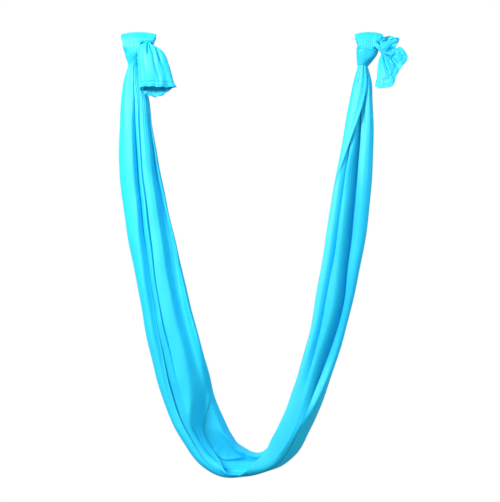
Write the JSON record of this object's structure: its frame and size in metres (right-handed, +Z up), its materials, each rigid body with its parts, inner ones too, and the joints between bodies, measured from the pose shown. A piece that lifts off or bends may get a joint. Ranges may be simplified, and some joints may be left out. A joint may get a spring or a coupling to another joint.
{
  "type": "aerial yoga hammock",
  "caption": "Stretch cloth sling, gathered and knotted at both ends, hung by an eye of cloth at each end as a deep U to sit, lie or swing in.",
  "frame": {"origin": "middle of the left eye, the loop of gathered cloth that goes over the anchor", "axes": "+X from the left eye to the right eye, +Z up, -Y towards the front, where the tails hang"},
  "size_m": [1.1626, 0.2309, 1.79],
  "materials": {
    "sling_cloth": "matte",
    "hem_cloth": "matte"
  },
  "bodies": {
    "anchored_eyes": {"left_bight": "sling_cloth", "right_bight": "sling_cloth"},
    "sling": {"left_knot_wrap": "sling_cloth", "left_neck_turn": "sling_cloth", "left_leg": "sling_cloth", "seat": "sling_cloth", "right_leg": "sling_cloth", "right_neck_turn": "sling_cloth", "right_knot_wrap": "sling_cloth"},
    "left_tail_end": {"left_tail": "sling_cloth", "left_tail_hem": "hem_cloth"},
    "right_tail_end": {"right_tail": "sling_cloth", "right_tail_hem": "hem_cloth"}
  },
  "joints": [
    {"name": "sling_swing", "type": "hinge", "parent": "anchored_eyes", "child": "sling", "pos_m": [0, 0, 0], "axis": [1, 0, 0], "range_deg": [-60, 60]},
    {"name": "left_tail_lift", "type": "hinge", "parent": "sling", "child": "left_tail_end", "pos_m": [0.042, -0.05322, -0.006], "axis": [-1, 0, 0], "range_deg": [0, 75]},
    {"name": "right_tail_lift", "type": "hinge", "parent": "sling", "child": "right_tail_end", "pos_m": [0.952, -0.05302, -0.014], "axis": [0, -1, 0], "range_deg": [0, 60]}
  ]
}
